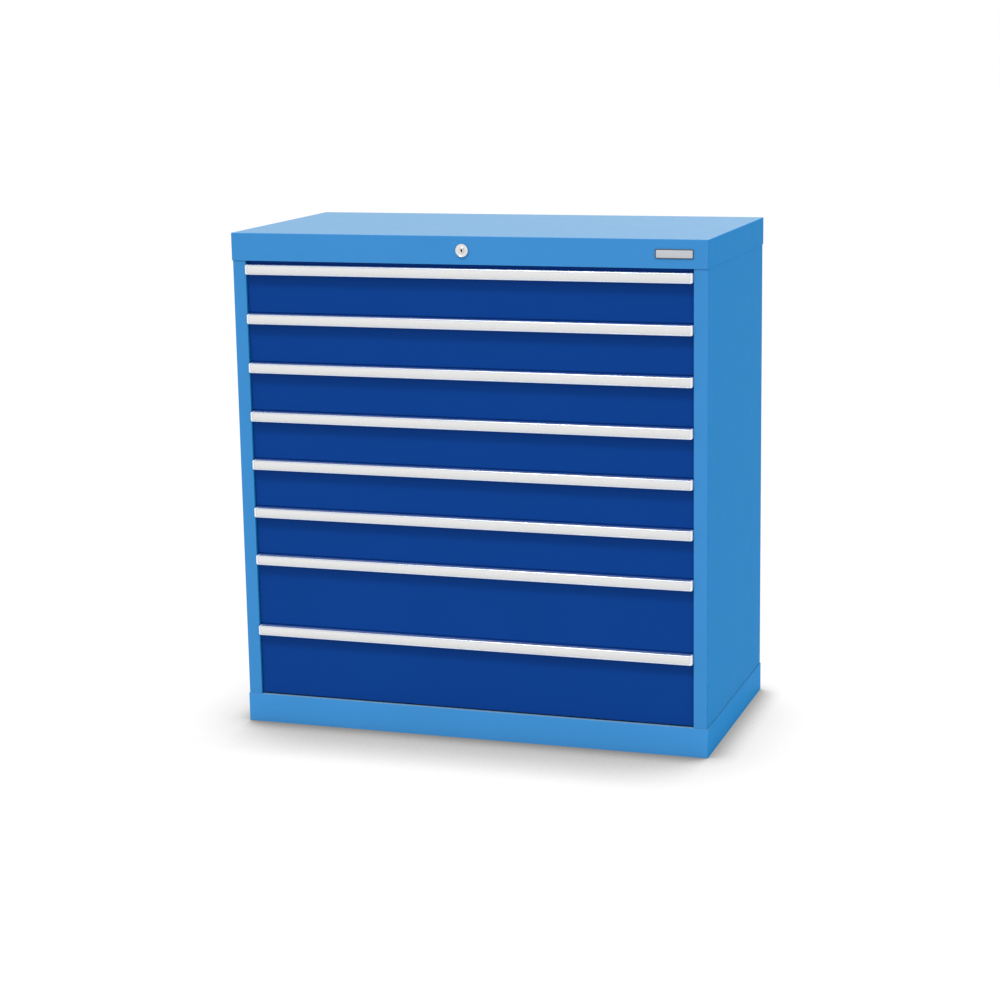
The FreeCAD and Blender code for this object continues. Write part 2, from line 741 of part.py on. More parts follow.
def make_lock_shaft():
    """Long shaft behind the plug, ending in a crank that lifts the lock bar."""
    start = f"({CASE_FRONT} + sizes.barrel_length)"
    shaft = rod("shaft_rod", "sizes.shaft_diameter", "0", LOCK_HEIGHT, (start, CRANK_FRONT))
    disc_back = f"({CRANK_FRONT} + sizes.crank_depth)"
    disc = rod("crank_disc", "sizes.crank_diameter", "0", LOCK_HEIGHT, (CRANK_FRONT, disc_back))
    pin_end = f"({BAR_FRONT} + sizes.bar_sheet + sizes.crank_pin_proud)"
    pin_x = cells("-crank_radius * cos(45)")
    pin = rod("crank_pin", "sizes.crank_pin_diameter", pin_x, HEAD_HEIGHT, (disc_back, pin_end))
    subpart(fuse("shaft", shaft, disc, pin), "lock_shaft")


def make_shaft_hanger():
    """Bracket under the cover that carries the rear of the lock shaft."""
    front = f"({CRANK_FRONT} - sizes.hanger_inset)"
    top = f"({CASE_TOP} - sizes.sheet)"
    low = f"({LOCK_HEIGHT} - sizes.hanger_width / 2)"
    half = spread(cells("hanger_width / 2"))
    leaf_depth = (front, f"{front} + sizes.hanger_sheet")
    foot_depth = (front, f"{front} + sizes.hanger_width")
    leaf = box("hanger_leaf", half, leaf_depth, (low, top))
    foot = box("hanger_foot", half, foot_depth, (f"{top} - sizes.hanger_sheet", top))
    bore_size = cells("shaft_diameter + 2 * shaft_clearance")
    bore = rod("hanger_bore", bore_size, "0", LOCK_HEIGHT, past(*leaf_depth))
    subpart(cut("hanger", fuse("hanger_blank", leaf, foot), bore), "shaft_hanger")


def make_lock_bar():
    """Upright bar behind the drawers, with a tab for each drawer's hook and a slotted head."""
    back = f"({BAR_FRONT} + sizes.bar_sheet)"
    depth = (BAR_FRONT, back)
    half = cells("bar_width / 2")
    slot_half = cells("(crank_pin_diameter / 2 + pin_clearance)")
    reach = cells("(crank_radius + crank_pin_diameter / 2 + pin_clearance)")
    near = cells("(crank_radius * cos(45) - crank_pin_diameter / 2 - pin_clearance)")
    head_half = f"({slot_half} + sizes.bar_head_margin)"
    head_width = (f"-({reach} + sizes.bar_head_margin)", half)
    pieces = [
        box("bar_strip", spread(half), depth, (cells("plinth_height + bar_foot"), HEAD_HEIGHT)),
        box("bar_head", head_width, depth, spread_about(HEAD_HEIGHT, head_half)),
    ]
    for number in range(1, DRAWERS + 1):
        tip_top = f"({hook_plate(number)} - sizes.hook_drop - sizes.tab_clearance)"
        tip_low = f"({tip_top} - sizes.tab_height)"
        tip_front = f"({TRAY_BACK} + sizes.tab_gap)"
        width = spread(cells("tab_width / 2"))
        arm = (tip_low, f"{tip_low} + sizes.tab_sheet")
        tip_depth = (tip_front, f"{tip_front} + sizes.tab_tip")
        pieces.append(box(f"tab_{number}_arm", width, (tip_front, BAR_FRONT), arm))
        pieces.append(box(f"tab_{number}_tip", width, tip_depth, (tip_low, tip_top)))
    slot = box(
        "bar_slot",
        (f"-{reach}", f"-{near}"),
        past(BAR_FRONT, back),
        spread_about(HEAD_HEIGHT, slot_half),
    )
    subpart(cut("bar", fuse("bar_blank", *pieces), slot), "lock_bar")


def make_bar_guides():
    """Brackets on the back panel, one per gap between drawers, that the bar slides in."""
    back = f"({PANEL_BACK} - 2 * sizes.sheet)"
    front = f"({BAR_FRONT} - sizes.guide_clearance - sizes.guide_wall)"
    guides = []
    bar_back = f"{BAR_FRONT} + sizes.bar_sheet"
    for number in GUIDED_DRAWERS:
        centre = f"({drawer_floor(number)} + sizes.guide_height)"
        block = box(
            f"guide_{number}_block",
            spread(cells("guide_width / 2")),
            (front, back),
            spread_about(centre, "sizes.guide_height / 2"),
        )
        slot = box(
            f"guide_{number}_slot",
            spread(cells("bar_width / 2 + guide_clearance")),
            (f"{BAR_FRONT} - sizes.guide_clearance", f"{bar_back} + sizes.guide_clearance"),
            spread_about(centre, "sizes.guide_height"),
        )
        guides.append(cut(f"guide_{number}", block, slot))
    subpart(group("guide_set", guides), "lock_bar_guides")


# ---- trim ----

def make_badge():
    """Blank label plate at the right of the fascia, its edge in line with the post."""
    top = f"({CASE_TOP} - sizes.badge_drop)"
    plate = box(
        "badge",
        (f"{OPENING_HALF} - sizes.badge_width", OPENING_HALF),
        (f"{CASE_FRONT} - sizes.badge_depth", CASE_FRONT),
        (f"{top} - sizes.badge_height", top),
    )
    subpart(plate, "name_plate")


def make_case_screws():
    """Pan-head screws that fasten the side panels' rear flanges to the back panel."""
    screws = []
    for side in SIDES:
        for step, (x, z) in enumerate(screw_places(side)):
            name = f"{side}_screw_{step}"
            head_end = f"({PANEL_BACK} + sizes.screw_head_depth)"
            head = rod(f"{name}_head", "sizes.screw_head", x, z, (PANEL_BACK, head_end))
            tip = f"({PANEL_BACK} - sizes.screw_length)"
            shank = rod(f"{name}_shank", "sizes.screw_shank", x, z, (tip, PANEL_BACK))
            screws.append(fuse(name, head, shank))
    subpart(group("screw_set", screws), "case_screws")


def screw_places(side):
    """X and Z of the screws in one side's rear flange."""
    span = f"({CASE_TOP} - sizes.fascia_height - sizes.plinth_height)"
    x = f"{SIDES[side]} * ({PANEL_HALF} - sizes.back_flange / 2)"
    steps = [f"({step} + 0.5) / {SCREW_ROWS}" for step in range(SCREW_ROWS)]
    return [(x, f"(sizes.plinth_height + {span} * {step})") for step in steps]


def screw_holes(name, side):
    """Rods that cut the screws' holes through the flange and the back panel."""
    reach = (f"{PANEL_BACK} - sizes.screw_length", f"{PANEL_BACK} + sizes.overrun")
    hole = cells("screw_shank + screw_clearance")
    places = enumerate(screw_places(side))
    return fuse(name, *[rod(f"{name}_{step}", hole, x, z, reach) for step, (x, z) in places])


make_top_cover()
make_plinth()
make_back_panel()
make_bottom_plate()
for case_side in SIDES:
    make_side_panel(case_side)
    make_uprights(case_side)
    make_cabinet_rails(case_side)
make_drawer_stops()
for drawer in range(1, DRAWERS + 1):
    make_front(drawer)
    make_handle(drawer)
    make_end_caps(drawer)
    make_tray(drawer)
    make_carriages(drawer)
make_lock_cylinder()
make_lock_nut()
make_lock_plug()
make_lock_shaft()
make_shaft_hanger()
make_lock_bar()
make_bar_guides()
make_badge()
make_case_screws()
doc.recompute()

failed = [thing.Name for thing in doc.Objects if "Invalid" in thing.State or "Error" in thing.State]
assert not failed, f"objects failed: {failed}"
for thing in subparts:
    assert not thing.Shape.isNull(), f"{thing.Label} has no shape"
    assert thing.Shape.isValid(), f"{thing.Label} is not valid"

os.makedirs("parts", exist_ok=True)
for thing in subparts:
    thing.Shape.exportStep(f"parts/{thing.Label}.step")
print(f"{len(subparts)} sub-parts written")
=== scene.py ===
import json
import math

import bmesh
import bpy
from mathutils import Matrix, Vector


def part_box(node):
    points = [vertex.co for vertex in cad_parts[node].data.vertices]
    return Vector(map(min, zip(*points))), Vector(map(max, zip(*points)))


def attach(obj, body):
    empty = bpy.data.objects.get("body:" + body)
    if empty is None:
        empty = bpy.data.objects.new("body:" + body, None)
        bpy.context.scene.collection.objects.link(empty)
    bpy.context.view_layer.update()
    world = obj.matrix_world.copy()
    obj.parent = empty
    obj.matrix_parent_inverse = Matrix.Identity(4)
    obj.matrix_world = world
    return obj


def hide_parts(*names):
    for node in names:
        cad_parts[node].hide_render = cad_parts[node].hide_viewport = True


# Looks for a steel drawer cabinet: powder-coated case and fronts, aluminium handle
# strips, slotted trays on roller runners, and a central lock.  Lengths are in metres,
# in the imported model's frame: +X right, +Y back, +Z up, origin on the floor.

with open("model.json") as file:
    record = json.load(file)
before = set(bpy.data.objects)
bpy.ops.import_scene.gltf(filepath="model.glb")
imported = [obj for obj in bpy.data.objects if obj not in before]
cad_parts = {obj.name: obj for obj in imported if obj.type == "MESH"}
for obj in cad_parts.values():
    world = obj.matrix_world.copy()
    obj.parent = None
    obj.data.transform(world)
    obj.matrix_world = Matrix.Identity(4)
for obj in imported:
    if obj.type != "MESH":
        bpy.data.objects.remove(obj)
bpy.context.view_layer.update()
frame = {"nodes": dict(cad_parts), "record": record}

MM = 0.001
DRAWERS = range(1, 9)
SIDES = (-1, 1)                     # left and right, as signs of X
ROLLERS = 3                         # on each face of a carriage's plate
SHARP_ANGLE = math.radians(35)      # edges that turn more than this stay crisp


# ---------------------------------------------------------------- materials

class Look:
    """One material's node tree, with short calls for the nodes that the looks share."""

    def __init__(self, name):
        self.material = bpy.data.materials.new(name)
        self.material.use_nodes = True
        self.nodes = self.material.node_tree.nodes
        self.links = self.material.node_tree.links
        self.nodes.clear()
        self.shader = self.nodes.new("ShaderNodeBsdfPrincipled")
        output = self.nodes.new("ShaderNodeOutputMaterial")
        self.links.new(self.shader.outputs["BSDF"], output.inputs["Surface"])
        self.place = self.nodes.new("ShaderNodeTexCoord").outputs["Object"]

    def set(self, **values):
        """Fixed values, each on the shader's own socket."""
        for key, value in values.items():
            self.shader.inputs[key.replace("_", " ")].default_value = value

    def feed(self, socket, output):
        self.links.new(output, self.shader.inputs[socket])

    def noise(self, scale, detail=2.0, stretch=(1, 1, 1)):
        mapping = self.nodes.new("ShaderNodeMapping")
        mapping.inputs["Scale"].default_value = stretch
        self.links.new(self.place, mapping.inputs["Vector"])
        node = self.nodes.new("ShaderNodeTexNoise")
        node.inputs["Scale"].default_value = scale
        node.inputs["Detail"].default_value = detail
        self.links.new(mapping.outputs["Vector"], node.inputs["Vector"])
        return node.outputs["Fac"]

    def cells(self, scale):
        """A random share, from 0 to 1, for each cell of a Voronoi pattern."""
        node = self.nodes.new("ShaderNodeTexVoronoi")
        node.inputs["Scale"].default_value = scale
        self.links.new(self.place, node.inputs["Vector"])
        channels = self.nodes.new("ShaderNodeSeparateColor")
        self.links.new(node.outputs["Color"], channels.inputs["Color"])
        return channels.outputs["Red"]

    def spread(self, value, low=0, high=1, start=0.3, end=0.7):
        """Value, which runs from start to end, remapped to run from low to high."""
        node = self.nodes.new("ShaderNodeMapRange")
        node.inputs["From Min"].default_value = start
        node.inputs["From Max"].default_value = end
        node.inputs["To Min"].default_value = low
        node.inputs["To Max"].default_value = high
        self.links.new(value, node.inputs["Value"])
        return node.outputs["Result"]

    def blend(self, factor, first, second):
        """Mix of two tones; the first is a colour or another node's output."""
        node = self.nodes.new("ShaderNodeMix")
        node.data_type = "RGBA"
        if isinstance(first, tuple):
            node.inputs["A"].default_value = (*first, 1)
        else:
            self.links.new(first, node.inputs["A"])
        node.inputs["B"].default_value = (*second, 1)
        self.links.new(factor, node.inputs["Factor"])
        return node.outputs["Result"]

    def calculate(self, operation, *values):
        node = self.nodes.new("ShaderNodeMath")
        node.operation = operation
        for socket, value in zip(node.inputs, values):
            self.links.new(value, socket)
        return node.outputs["Value"]

    def facing(self, axis):
        """How far a face looks along an axis of the piece's own frame, from -1 to 1."""
        normal = self.nodes.new("ShaderNodeTexCoord").outputs["Normal"]
        node = self.nodes.new("ShaderNodeSeparateXYZ")
        self.links.new(normal, node.inputs["Vector"])
        return node.outputs[axis]

    def openness(self, reach, lean):
        """How open a hemisphere that leans some way is, out to a reach, from 0 to 1."""
        node = self.nodes.new("ShaderNodeAmbientOcclusion")
        node.samples = 8
        node.inputs["Distance"].default_value = reach
        direction = self.nodes.new("ShaderNodeCombineXYZ")
        for axis, share in zip("XYZ", lean):
            direction.inputs[axis].default_value = share
        self.links.new(direction.outputs["Vector"], node.inputs["Normal"])
        return node.outputs["AO"]

    def bump(self, *layers):
        """Chained bumps: each layer is (height, strength, distance)."""
        normal = None
        for height, strength, distance in layers:
            node = self.nodes.new("ShaderNodeBump")
            node.inputs["Strength"].default_value = strength
            node.inputs["Distance"].default_value = distance
            self.links.new(height, node.inputs["Height"])
            if normal is not None:
                self.links.new(normal, node.inputs["Normal"])
            normal = node.outputs["Normal"]
        self.feed("Normal", normal)


def srgb(red, green, blue):
    """Linear colour from 0-255 screen values."""
    def linear(value):
        share = value / 255
        return share / 12.92 if share <= 0.04045 else ((share + 0.055) / 1.055) ** 2.4
    return tuple(linear(value) for value in (red, green, blue))


def shade(colour, share):
    return tuple(min(value * share, 1.0) for value in colour)


def powder_coat(name, colour, gloss, index=1.12, top_highlight=None, side_shade=None):
    """Sprayed and baked paint: orange-peel skin, faint drift in tone and gloss, with
    a paler painted-highlight tone on the faces that look up and a deeper painted-shade tone on the faces
    that look sideways."""
    look = Look(name)
    drift = 0.015
    cloud = look.spread(look.noise(7, 5))
    tone = look.blend(cloud, shade(colour, 1 - drift), shade(colour, 1 + drift))
    # Painted highlight: faces that look up take a paler tone.
    if top_highlight:
        top_highlight_mask = look.spread(look.facing("Z"), start=0.6, end=0.95)
        tone = look.blend(top_highlight_mask, tone, top_highlight)
    # Painted shade: faces that look along X, the sides, take a deeper tone.
    if side_shade:
        side_shade_mask = look.calculate("ABSOLUTE", look.facing("X"))
        tone = look.blend(look.spread(side_shade_mask, start=0.5, end=0.95), tone, side_shade)
    look.feed("Base Color", tone)
    look.feed("Roughness", look.spread(look.noise(24, 4), gloss - 0.02, gloss + 0.03))
    look.set(IOR=index)
    peel = look.noise(330, 2)
    grain = look.noise(1500, 1)
    look.bump((peel, 0.10, 0.4 * MM), (grain, 0.06, 0.1 * MM))
    return look.material


def anodised_aluminium():
    """Drawn profile: fine lines along its length under a satin anodised skin."""
    look = Look("anodised_aluminium")
    lines = look.noise(900, 3, stretch=(0.004, 1, 1))
    look.feed("Base Color", look.blend(look.spread(lines), srgb(202, 210, 224), srgb(214, 222, 236)))
    look.feed("Roughness", look.spread(lines, 0.30, 0.42))
    look.set(Metallic=0.85)
    look.bump((lines, 0.08, 0.05 * MM))
    return look.material


def plastic(name, colour, roughness=0.4):
    """Moulded plastic with a fine, even grain."""
    look = Look(name)
    look.feed("Base Color", look.blend(look.spread(look.noise(25, 3)), shade(colour, 0.98), colour))
    look.feed("Roughness", look.spread(look.noise(180, 2), roughness - 0.05, roughness + 0.06))
    look.bump((look.noise(1800, 1), 0.05, 0.1 * MM))
    return look.material


def label_paper():
    """Matt label strip behind the profile's lips, with a faint fibre mottle."""
    look = Look("label_strip")
    fibres = look.noise(600, 4, stretch=(0.25, 1, 1))
    look.feed("Base Color", look.blend(look.spread(fibres), srgb(199, 199, 199), srgb(205, 205, 205)))
    look.feed("Roughness", look.spread(look.noise(40, 2), 0.42, 0.55))
    look.bump((fibres, 0.06, 0.1 * MM))
    return look.material


def bright_zinc():
    """Galvanised steel: pale spangle and rolling lines."""
    look = Look("bright_zinc")
    lines = look.noise(400, 3, stretch=(1, 0.02, 1))
    look.feed("Base Color", look.blend(look.cells(160), (0.56, 0.57, 0.58), (0.66, 0.67, 0.69)))
    look.feed("Roughness", look.spread(lines, 0.28, 0.42))
    look.set(Metallic=1.0)
    look.bump((lines, 0.07, 0.08 * MM))
    return look.material


def nickel(name, tone, low, high):
    """Plated metal with turning marks; its roughness runs from low to high."""
    look = Look(name)
    turned = look.noise(500, 3, stretch=(1, 0.05, 1))
    look.feed("Base Color", look.blend(look.spread(turned), shade(tone, 0.94), tone))
    look.feed("Roughness", look.spread(turned, low, high))
    look.set(Metallic=1.0)
    look.bump((turned, 0.04, 0.05 * MM))
    return look.material


def rubber():
    look = Look("black_rubber")
    mottle = look.spread(look.noise(80, 3))
    look.feed("Base Color", look.blend(mottle, (0.012, 0.012, 0.013), (0.02, 0.02, 0.021)))
    look.feed("Roughness", look.spread(look.noise(300, 2), 0.7, 0.9))
    look.bump((look.noise(900, 2), 0.2, 0.2 * MM))
    return look.material


# Paler tone for faces that look up: a painted highlight.
TOP_HIGHLIGHT_BLUE = srgb(106, 145, 178)
LIGHT_BLUE = powder_coat(
    "light_blue_powder_coat", srgb(57, 127, 186), gloss=0.5, index=1.07,
    # The side faces take a deeper tone: painted shade.
    top_highlight=TOP_HIGHLIGHT_BLUE, side_shade=srgb(27, 129, 194),
)
# Brighter copy of the light blue coat for the plinth: painted light that makes up for the shade the floor
# throws on it.
PLINTH_LIT_BLUE = powder_coat(
    "light_blue_powder_coat_lit_plinth", srgb(60, 133, 194), gloss=0.5, index=1.07,
    top_highlight=TOP_HIGHLIGHT_BLUE, side_shade=srgb(31, 135, 203),
)
DARK_BLUE = powder_coat("dark_blue_powder_coat", srgb(6, 55, 127), gloss=0.46)
GREY = powder_coat("grey_powder_coat", srgb(186, 190, 189), gloss=0.45)
ALUMINIUM = anodised_aluminium()
WHITE = plastic("white_plastic", srgb(217, 220, 226))
LABEL = label_paper()
ZINC = bright_zinc()
NICKEL = nickel("nickel_plate", (0.78, 0.77, 0.76), 0.2, 0.32)
DARK_HOLE = plastic("keyway_shadow", (0.006, 0.006, 0.007), roughness=0.6)
BADGE_FRAME = plastic("badge_frame", srgb(58, 66, 78))
BADGE_FACE = nickel("badge_face", (0.55, 0.57, 0.60), 0.34, 0.46)
RUBBER = rubber()

SLOT_LOOKS = {
    "light_blue_powder_coat": LIGHT_BLUE,
    "dark_blue_powder_coat": DARK_BLUE,
    "grey_powder_coat": GREY,
    "anodised_aluminium": ALUMINIUM,
    "white_plastic": WHITE,
    "bright_zinc": ZINC,
    "black_rubber": RUBBER,
    "nickel_plate": NICKEL,
    "label_plate": BADGE_FACE,
}


# ------------------------------------------------------------ mesh building

def finish_mesh(name, mesh, looks, body, replaced=(), gauge=0.0):
    """Turns a bmesh into a piece that rides on a body and takes its finish from a slot.
    An open sheet gets its gauge as thickness, on its inner side."""
    bmesh.ops.recalc_face_normals(mesh, faces=mesh.faces)
    data = bpy.data.meshes.new(name)
    mesh.to_mesh(data)
    mesh.free()
    data.polygons.foreach_set("use_smooth", [True] * len(data.polygons))
    data.set_sharp_from_angle(angle=SHARP_ANGLE)
    piece = bpy.data.objects.new(name, data)
    bpy.context.scene.collection.objects.link(piece)
    for look in looks:
        data.materials.append(look)
    if gauge:
        shell = piece.modifiers.new("gauge", "SOLIDIFY")
        shell.thickness = gauge
        shell.offset = -1
        shell.use_even_offset = True
    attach(piece, body)
    if replaced:
        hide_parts(*replaced)


def add_box(mesh, low, high, radius):
    """Box between two corners, its edges rounded."""
    low, high = Vector(low), Vector(high)
    corners = bmesh.ops.create_cube(mesh, size=1)["verts"]
    size = Matrix.Diagonal((*(high - low), 1))
    bmesh.ops.transform(mesh, matrix=Matrix.Translation((low + high) / 2) @ size, verts=corners)
    edges = list(dict.fromkeys(edge for corner in corners for edge in corner.link_edges))
    bmesh.ops.bevel(mesh, geom=edges, offset=radius, segments=2, profile=0.5, affect="EDGES")


def join_rings(mesh, near, far, look=0):
    """Faces between two rings of points; a ring of one point makes a cone."""
    count = max(len(near), len(far))
    for step in range(count):
        after = (step + 1) % count
        corners = [near[step % len(near)], near[after % len(near)]]
        corners += [far[after % len(far)], far[step % len(far)]]
        unique = list(dict.fromkeys(corners))
        mesh.faces.new(unique).material_index = look


def add_lathe(mesh, profile, centre, axis, steps, closed=False):
    """Turned solid: profile lists (place along the axis, radius); closed joins its ends."""
    turn = Vector((0, 0, 1)).rotation_difference(Vector(axis)).to_matrix()
    rings = []
    for along, radius in profile:
        count = steps if radius > 0 else 1
        ring = []
        for step in range(count):
            angle = 2 * math.pi * step / steps
            spot = Vector((radius * math.cos(angle), radius * math.sin(angle), along))
            ring.append(mesh.verts.new(Vector(centre) + turn @ spot))
        rings.append(ring)
    for near, far in zip(rings, rings[1:]):
        join_rings(mesh, near, far)
    if closed:
        join_rings(mesh, rings[-1], rings[0])


def folded_section(path, gauge, radius):
    """Outline of a folded sheet's section: path is its middle line, bent at its corners."""
    steps = 4
    middle = [Vector(path[0])]
    for before, spot, after in zip(path, path[1:], path[2:]):
        spot = Vector(spot)
        start = spot + (Vector(before) - spot).normalized() * radius
        end = spot + (Vector(after) - spot).normalized() * radius
        for step in range(steps + 1):
            share = step / steps
            middle.append(start * (1 - share) ** 2 + spot * 2 * share * (1 - share) + end * share ** 2)
    middle.append(Vector(path[-1]))
    left, right = [], []
    for index, spot in enumerate(middle):
        before = middle[max(index - 1, 0)]
        after = middle[min(index + 1, len(middle) - 1)]
        along = (after - before).normalized()
        across = Vector((-along.y, along.x)) * gauge / 2
        left.append(spot + across)
        right.append(spot - across)
    return left + right[::-1]


def add_extrusion(mesh, section, start, end, place):
    """Solid of a folded section; place(a, b, along) gives a point's position."""
    ends = [[mesh.verts.new(place(*spot, along)) for spot in section] for along in (start, end)]
    join_rings(mesh, *ends)
    count = len(section)
    for ring in ends:
        for index in range(count // 2 - 1):
            mesh.faces.new((ring[index], ring[index + 1], ring[count - 2 - index], ring[count - 1 - index]))


def slot_lines(start, end, margin, pitch, width):
    """Grid lines for slots of one width at one pitch, centred between two margins."""
    room = end - start - 2 * margin
    count = int((room - pitch) / pitch)
    first = (start + end) / 2 - (count - 1) * pitch / 2
    lines = [start, start + margin]
    for step in range(count):
        centre = first + step * pitch
        lines += [centre - width / 2, centre + width / 2]
    return lines + [end - margin, end]


def add_slotted_sheet(mesh, lines, levels, place):
    """Sheet of grid cells with slots left open: every second cell between the margins,
    in every second row.  place(a, b) gives a point's position."""
    corners = {}

    def corner(i, j):
        if (i, j) not in corners:
            corners[i, j] = mesh.verts.new(place(lines[i], levels[j]))
        return corners[i, j]

    made = []
    for i in range(len(lines) - 1):
        for j in range(len(levels) - 1):
            slot = i % 2 == 0 and 0 < i < len(lines) - 2 and j % 2 == 1
            if not slot:
                cell = corner(i, j), corner(i + 1, j), corner(i + 1, j + 1), corner(i, j + 1)
                made.append(mesh.faces.new(cell))
    return made


def rounded_outline(low, high, radius):
    """Corner points of a rounded rectangle, anticlockwise, as (x, z)."""
    steps = 6
    centres = (
        (high[0] - radius, high[1] - radius), (low[0] + radius, high[1] - radius),
        (low[0] + radius, low[1] + radius), (high[0] - radius, low[1] + radius),
    )
    spots = []
    for quarter, (x, z) in enumerate(centres):
        for step in range(steps + 1):
            angle = math.pi / 2 * (quarter + step / steps)
            spots.append((x + radius * math.cos(angle), z + radius * math.sin(angle)))
    return spots


# ------------------------------------------------------------- CAD surfaces

USUAL_EDGE = 0.3 * MM
FRONT_EDGE = 0.55 * MM
HANDLE_EDGE = 0.35 * MM
OTHER_EDGES = {
    "top_cover": 0.35 * MM, "left_side_panel": 0.2 * MM, "right_side_panel": 0.2 * MM,
    "base_plinth": 0.2 * MM, "back_panel": 0.2 * MM, "lock_bar": 0.4 * MM, "drawer_stops": 0.6 * MM,
}


def edge_width(name):
    if name.endswith("_front"):
        return FRONT_EDGE
    if name.endswith("_handle"):
        return HANDLE_EDGE
    return OTHER_EDGES.get(name, USUAL_EDGE)


def soften(node, width):
    """Joins the mesh's split corners, merges its flat facets and rounds its edges."""
    weld = node.modifiers.new("weld", "WELD")
    weld.merge_threshold = 0.01 * MM
    facets = node.modifiers.new("facets", "DECIMATE")
    facets.decimate_type = "DISSOLVE"
    facets.angle_limit = math.radians(0.5)
    bevel = node.modifiers.new("edges", "BEVEL")
    bevel.width = width
    bevel.segments = 2
    bevel.limit_method = "ANGLE"
    bevel.angle_limit = math.radians(40)
    bevel.harden_normals = True


def dress_cad_nodes():
    """Gives each carried-over node its look and softens its edges."""
    for entry in frame["record"]["subparts"]:
        name = entry["node"]
        node = frame["nodes"][name]
        # The plinth takes the brighter copy of the coat: painted light.
        look = PLINTH_LIT_BLUE if name == "base_plinth" else SLOT_LOOKS[entry["material_slot"]]
        node.data.materials.clear()
        node.data.materials.append(look)
        soften(node, edge_width(name))


dress_cad_nodes()


# ------------------------------------------------------------------ drawers

def make_label_strip(number):
    """Label insert between the lips of a handle strip."""
    low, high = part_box(f"drawer_{number}_handle")
    lip = 2.35 * MM                 # the profile's lip and a little room
    end_gap = 0.5 * MM
    face = 0.15 * MM                # the label's face behind the lips
    seat = 0.78 * MM                # its back, just off the groove's floor
    mesh = bmesh.new()
    add_box(
        mesh,
        (low.x + end_gap, low.y + face, low.z + lip),
        (high.x - end_gap, low.y + seat, high.z - lip),
        radius=0.15 * MM,
    )
    finish_mesh(f"drawer_{number}_label_strip", mesh, [LABEL], f"drawer_{number}")


def make_dust_lip(number):
    """Strip behind a front's top edge that covers the gap to whatever is above it."""
    low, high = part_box(f"drawer_{number}_front")
    neighbour = "top_cover" if number == 1 else f"drawer_{number - 1}_front"
    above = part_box(neighbour)[0].z
    clearance = 0.4 * MM
    inset = 2 * MM
    gauge = 1.2 * MM
    overlap = 6 * MM
    mesh = bmesh.new()
    add_box(
        mesh,
        (low.x + inset, low.y + inset, high.z - overlap),
        (high.x - inset, low.y + inset + gauge, above - clearance),
        radius=0.3 * MM,
    )
    finish_mesh(f"drawer_{number}_dust_lip", mesh, [DARK_BLUE], f"drawer_{number}")


def make_tray(number):
    """Folded tray with slotted walls, hemmed rims, runner rails and the lock's hook."""
    cad_corner, cad_far_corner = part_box(f"drawer_{number}_tray")
    rail_depth = 5 * MM
    hook_reach = 14 * MM
    low = cad_corner + Vector((rail_depth, 0, 0))
    high = cad_far_corner - Vector((rail_depth, hook_reach, 0))
    make_tray_box(number, low, high)
    make_tray_rim(number, low, high)
    make_tray_runners(number, low, high, cad_far_corner)


def make_tray_box(number, low, high):
    """Floor and four walls, each wall with an upper and a lower row of divider slots."""
    margin = 6 * MM
    pitch = 17 * MM
    slot_width = 2.4 * MM
    lower_slots = (low.z + 9 * MM, low.z + 23 * MM)
    upper_slots = (high.z - 24 * MM, high.z - 10 * MM)
    fold_radius = 1.5 * MM
    across = slot_lines(low.x, high.x, margin, pitch, slot_width)
    along = slot_lines(low.y, high.y, margin, pitch, slot_width)
    up = [low.z, *lower_slots, *upper_slots, high.z]

    mesh = bmesh.new()
    for y in (low.y, high.y):
        add_slotted_sheet(mesh, across, up, lambda x, z, y=y: (x, y, z))
    for x in (low.x, high.x):
        add_slotted_sheet(mesh, along, up, lambda y, z, x=x: (x, y, z))
    rim = [(x, low.y) for x in across] + [(high.x, y) for y in along[1:]]
    rim += [(x, high.y) for x in across[-2::-1]] + [(low.x, y) for y in along[-2:0:-1]]
    mesh.faces.new([mesh.verts.new((x, y, low.z)) for x, y in rim])
    bmesh.ops.remove_doubles(mesh, verts=mesh.verts, dist=0.01 * MM)
    bmesh.ops.recalc_face_normals(mesh, faces=mesh.faces)
    bent = math.radians(60)
    folds = [edge for edge in mesh.edges if edge.calc_face_angle(0) > bent]
    bmesh.ops.bevel(mesh, geom=folds, offset=fold_radius, segments=3, profile=0.5, affect="EDGES")
    finish_mesh(
        f"drawer_{number}_tray_box", mesh, [GREY], f"drawer_{number}",
        replaced=[f"drawer_{number}_tray"], gauge=1 * MM,
    )


def make_tray_rim(number, low, high):
    """Hems folded outwards along the side walls' and the rear wall's top."""
    hem = 3 * MM
    drop = 7 * MM
    radius = 0.7 * MM
    mesh = bmesh.new()
    for sign in SIDES:
        wall = sign * high.x
        edges = sorted((wall, wall + sign * hem))
        add_box(mesh, (edges[0], low.y, high.z - drop), (edges[1], high.y, high.z), radius)
    add_box(mesh, (low.x, high.y, high.z - drop), (high.x, high.y + hem, high.z), radius)
    finish_mesh(f"drawer_{number}_tray_rim", mesh, [GREY], f"drawer_{number}")


